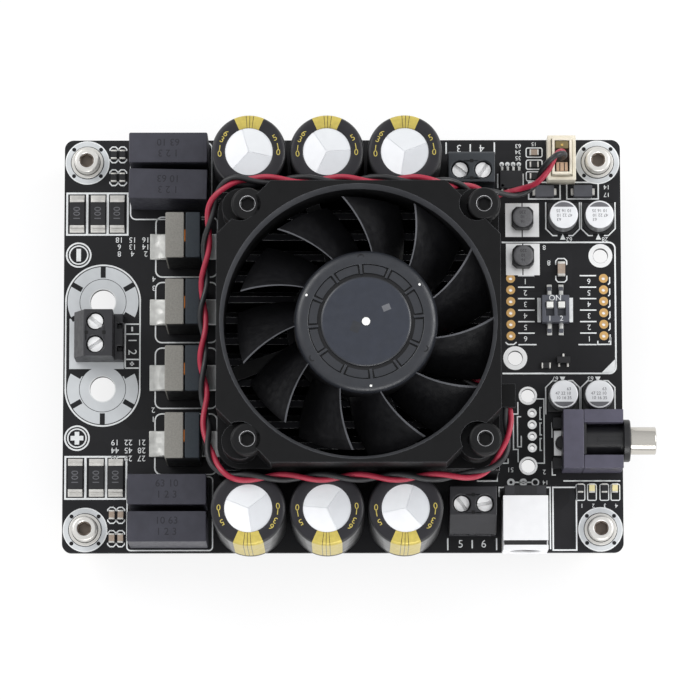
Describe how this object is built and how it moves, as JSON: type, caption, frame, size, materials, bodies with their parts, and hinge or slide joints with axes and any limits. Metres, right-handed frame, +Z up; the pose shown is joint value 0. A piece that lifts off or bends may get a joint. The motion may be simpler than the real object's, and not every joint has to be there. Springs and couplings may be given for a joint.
{
  "type": "audio amplifier board",
  "caption": "Fan-cooled audio power amplifier circuit board with heatsink, bulk capacitors, output filter, screw terminals, line and supply jacks, on standoffs.",
  "frame": {"origin": "centre of the four mounting holes, on the plane the standoffs stand on", "axes": "+X to the line input jack, +Y to the control terminal, +Z up through the fan"},
  "size_m": [0.1288, 0.0928, 0.0486],
  "materials": {
    "board": "dark solder resist over glass-epoxy laminate",
    "brass": "turned hexagon, satin",
    "bright_steel": "zinc-plated steel",
    "black_steel": "black oxide",
    "chip": "moulded epoxy",
    "heatsink": "black anodised",
    "fan_plastic": "moulded, fine satin texture",
    "stator": "wound laminations",
    "bearing": "sintered bronze",
    "magnet": "bonded ferrite ring",
    "lead": "red and black insulated wires, twisted",
    "ivory": "natural nylon",
    "can_sleeve": "shrunk sleeve on an aluminium can",
    "film": "moulded box",
    "ferrite": "ground ferrite",
    "copper": "flat copper winding with tinned ends",
    "terminal": "moulded polyamide",
    "clamp": "plated brass cage",
    "switch": "moulded",
    "white_plastic": "moulded",
    "jack": "moulded",
    "nickel": "nickel plate",
    "black_plastic": "moulded",
    "can": "bare can on a plastic base",
    "small_parts": "surface-mounted parts with tinned ends"
  },
  "bodies": {
    "board": {"pcb": "board", "standoffs": "brass", "mounting_screws": "bright_steel", "mounting_washers": "bright_steel", "amplifier_chip": "chip", "heatsink": "heatsink", "heatsink_screws": "bright_steel", "fan_frame": "fan_plastic", "fan_stator": "stator", "fan_bearing": "bearing", "fan_screws": "black_steel", "fan_lead": "lead", "fan_plug": "ivory", "fan_header": "ivory", "bulk_capacitor_1": "can_sleeve", "bulk_capacitor_2": "can_sleeve", "bulk_capacitor_3": "can_sleeve", "bulk_capacitor_4": "can_sleeve", "bulk_capacitor_5": "can_sleeve", "bulk_capacitor_6": "can_sleeve", "film_capacitor_1": "film", "film_capacitor_2": "film", "film_capacitor_3": "film", "film_capacitor_4": "film", "output_inductor_core_1": "ferrite", "output_inductor_core_2": "ferrite", "output_inductor_core_3": "ferrite", "output_inductor_core_4": "ferrite", "output_inductor_windings": "copper", "output_terminal_housing": "terminal", "control_terminal_housing": "terminal", "supply_terminal_housing": "terminal", "switch_body": "switch", "jack_body": "jack", "jack_barrel": "nickel", "dc_jack_body": "black_plastic", "dc_jack_shell": "nickel", "dc_jack_pin": "nickel", "small_capacitors": "can", "power_inductors": "ferrite", "driver_chip": "chip", "sense_resistors": "small_parts", "surface_parts": "small_parts"},
    "rotor": {"fan_rotor": "fan_plastic", "fan_shaft": "bright_steel", "fan_magnet": "magnet"},
    "output_terminal_screw_1": {"output_terminal_screw_1": "bright_steel"},
    "output_terminal_clamp_1": {"output_terminal_clamp_1": "clamp"},
    "output_terminal_screw_2": {"output_terminal_screw_2": "bright_steel"},
    "output_terminal_clamp_2": {"output_terminal_clamp_2": "clamp"},
    "control_terminal_screw_1": {"control_terminal_screw_1": "bright_steel"},
    "control_terminal_clamp_1": {"control_terminal_clamp_1": "clamp"},
    "control_terminal_screw_2": {"control_terminal_screw_2": "bright_steel"},
    "control_terminal_clamp_2": {"control_terminal_clamp_2": "clamp"},
    "supply_terminal_screw_1": {"supply_terminal_screw_1": "bright_steel"},
    "supply_terminal_clamp_1": {"supply_terminal_clamp_1": "clamp"},
    "supply_terminal_screw_2": {"supply_terminal_screw_2": "bright_steel"},
    "supply_terminal_clamp_2": {"supply_terminal_clamp_2": "clamp"},
    "switch_slider_1": {"switch_slider_1": "white_plastic"},
    "switch_slider_2": {"switch_slider_2": "white_plastic"}
  },
  "joints": [
    {"name": "fan_spin", "type": "hinge", "parent": "board", "child": "rotor", "pos_m": [0.0034, 0, 0.0436], "axis": [0, 0, 1], "continuous": true},
    {"name": "output_terminal_screw_1_turn", "type": "hinge", "parent": "board", "child": "output_terminal_screw_1", "pos_m": [-0.0535, 0.0039, 0.02], "axis": [0, 0, -1], "range_deg": [0, 900]},
    {"name": "output_terminal_clamp_1_rise", "type": "slide", "parent": "board", "child": "output_terminal_clamp_1", "axis": [0, 0, 1], "range_m": [0, 0.00125]},
    {"name": "output_terminal_screw_2_turn", "type": "hinge", "parent": "board", "child": "output_terminal_screw_2", "pos_m": [-0.0535, -0.0011, 0.02], "axis": [0, 0, -1], "range_deg": [0, 900]},
    {"name": "output_terminal_clamp_2_rise", "type": "slide", "parent": "board", "child": "output_terminal_clamp_2", "axis": [0, 0, 1], "range_m": [0, 0.00125]},
    {"name": "control_terminal_screw_1_turn", "type": "hinge", "parent": "board", "child": "control_terminal_screw_1", "pos_m": [0.0306, 0.0371, 0.02], "axis": [0, 0, -1], "range_deg": [0, 900]},
    {"name": "control_terminal_clamp_1_rise", "type": "slide", "parent": "board", "child": "control_terminal_clamp_1", "axis": [0, 0, 1], "range_m": [0, 0.00125]},
    {"name": "control_terminal_screw_2_turn", "type": "hinge", "parent": "board", "child": "control_terminal_screw_2", "pos_m": [0.0256, 0.0371, 0.02], "axis": [0, 0, -1], "range_deg": [0, 900]},
    {"name": "control_terminal_clamp_2_rise", "type": "slide", "parent": "board", "child": "control_terminal_clamp_2", "axis": [0, 0, 1], "range_m": [0, 0.00125]},
    {"name": "supply_terminal_screw_1_turn", "type": "hinge", "parent": "board", "child": "supply_terminal_screw_1", "pos_m": [0.0256, -0.0359, 0.02], "axis": [0, 0, -1], "range_deg": [0, 900]},
    {"name": "supply_terminal_clamp_1_rise", "type": "slide", "parent": "board", "child": "supply_terminal_clamp_1", "axis": [0, 0, 1], "range_m": [0, 0.00125]},
    {"name": "supply_terminal_screw_2_turn", "type": "hinge", "parent": "board", "child": "supply_terminal_screw_2", "pos_m": [0.0306, -0.0359, 0.02], "axis": [0, 0, -1], "range_deg": [0, 900]},
    {"name": "supply_terminal_clamp_2_rise", "type": "slide", "parent": "board", "child": "supply_terminal_clamp_2", "axis": [0, 0, 1], "range_m": [0, 0.00125]},
    {"name": "switch_slider_1_slide", "type": "slide", "parent": "board", "child": "switch_slider_1", "axis": [0, -1, 0], "range_m": [0, 0.0016]},
    {"name": "switch_slider_2_slide", "type": "slide", "parent": "board", "child": "switch_slider_2", "axis": [0, -1, 0], "range_m": [0, 0.0016]}
  ],
  "couplings": [
    {"joint": "output_terminal_screw_1_turn", "follows": "output_terminal_clamp_1_rise", "rad_per_m": 12566},
    {"joint": "output_terminal_screw_2_turn", "follows": "output_terminal_clamp_2_rise", "rad_per_m": 12566},
    {"joint": "control_terminal_screw_1_turn", "follows": "control_terminal_clamp_1_rise", "rad_per_m": 12566},
    {"joint": "control_terminal_screw_2_turn", "follows": "control_terminal_clamp_2_rise", "rad_per_m": 12566},
    {"joint": "supply_terminal_screw_1_turn", "follows": "supply_terminal_clamp_1_rise", "rad_per_m": 12566},
    {"joint": "supply_terminal_screw_2_turn", "follows": "supply_terminal_clamp_2_rise", "rad_per_m": 12566}
  ]
}
